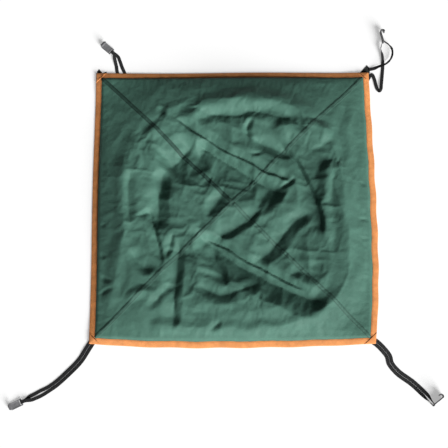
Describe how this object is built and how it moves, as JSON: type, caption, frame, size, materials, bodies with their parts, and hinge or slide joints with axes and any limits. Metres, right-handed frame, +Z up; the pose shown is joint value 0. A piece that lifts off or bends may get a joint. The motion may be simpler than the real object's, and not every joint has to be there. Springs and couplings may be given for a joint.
{
  "type": "rope sheet with hooked elastic corner loops",
  "caption": "Square sheet of coated cloth, sewn from triangular panels and bound round the rim, with a hooked elastic loop at each corner.",
  "frame": {"origin": "middle of the sheet, on the floor that it lies on", "axes": "+Z up; +X east and +Y north, each square to two sides of the sheet; the hooked loops lie towards the four corners"},
  "size_m": [1.1878, 1.1051, 0.0548],
  "materials": {
    "coated_cloth": "dark green plain-weave nylon with a thin coating, satin sheen",
    "seam_cloth": "the same cloth folded and double stitched",
    "binding_tape": "orange ribbed binding tape, matt",
    "corner_webbing": "black woven patch, matt",
    "tack_thread": "brown polyester thread",
    "elastic_webbing": "black ribbed flat elastic, matt",
    "hook_plastic": "grey moulded nylon, finely grained"
  },
  "bodies": {
    "root": {"panel_north": "coated_cloth", "panel_east": "coated_cloth", "panel_south": "coated_cloth", "panel_west": "coated_cloth", "seam_long": "seam_cloth", "seam_northwest": "seam_cloth", "seam_southeast": "seam_cloth", "binding_north": "binding_tape", "binding_east": "binding_tape", "binding_south": "binding_tape", "binding_west": "binding_tape", "corner_patch_ne": "corner_webbing", "corner_patch_nw": "corner_webbing", "corner_patch_sw": "corner_webbing", "corner_patch_se": "corner_webbing", "corner_fold_ne": "binding_tape", "corner_fold_nw": "binding_tape", "corner_fold_sw": "binding_tape", "corner_fold_se": "binding_tape", "bar_tack_ne": "tack_thread", "bar_tack_nw": "tack_thread", "bar_tack_sw": "tack_thread", "bar_tack_se": "tack_thread"},
    "loop_ne": {"elastic_ne": "elastic_webbing"},
    "hook_ne": {"hook_ne": "hook_plastic"},
    "loop_nw": {"elastic_nw": "elastic_webbing"},
    "hook_nw": {"hook_nw": "hook_plastic"},
    "loop_sw": {"elastic_sw": "elastic_webbing"},
    "hook_sw": {"hook_sw": "hook_plastic"},
    "loop_se": {"elastic_se": "elastic_webbing"},
    "hook_se": {"hook_se": "hook_plastic"}
  },
  "joints": [
    {"name": "swing_ne", "type": "hinge", "parent": "root", "child": "loop_ne", "pos_m": [0.383, 0.383, 0.00195], "axis": [0, 0, 1], "range_deg": [0, 60]},
    {"name": "swing_nw", "type": "hinge", "parent": "root", "child": "loop_nw", "pos_m": [-0.383, 0.383, 0.00195], "axis": [0, 0, 1], "range_deg": [0, 90]},
    {"name": "swing_sw", "type": "hinge", "parent": "root", "child": "loop_sw", "pos_m": [-0.383, -0.383, 0.00195], "axis": [0, 0, 1], "range_deg": [-50, 50]},
    {"name": "swing_se", "type": "hinge", "parent": "root", "child": "loop_se", "pos_m": [0.383, -0.383, 0.00195], "axis": [0, 0, 1], "range_deg": [-50, 50]},
    {"name": "turn_hook_ne", "type": "hinge", "parent": "loop_ne", "child": "hook_ne", "pos_m": [0.441, 0.488, 0.0103], "axis": [0, 0, 1], "range_deg": [-60, 60]},
    {"name": "turn_hook_nw", "type": "hinge", "parent": "loop_nw", "child": "hook_nw", "pos_m": [-0.352, 0.462, 0.0039], "axis": [0.6561, 0.7547, 0], "range_deg": [0, 100]},
    {"name": "turn_hook_sw", "type": "hinge", "parent": "loop_sw", "child": "hook_sw", "pos_m": [-0.576, -0.556, 0.0039], "axis": [-0.4384, 0.8988, 0], "range_deg": [0, 100]},
    {"name": "turn_hook_se", "type": "hinge", "parent": "loop_se", "child": "hook_se", "pos_m": [0.548, -0.564, 0.0103], "axis": [0, 0, 1], "range_deg": [-110, 0]}
  ]
}
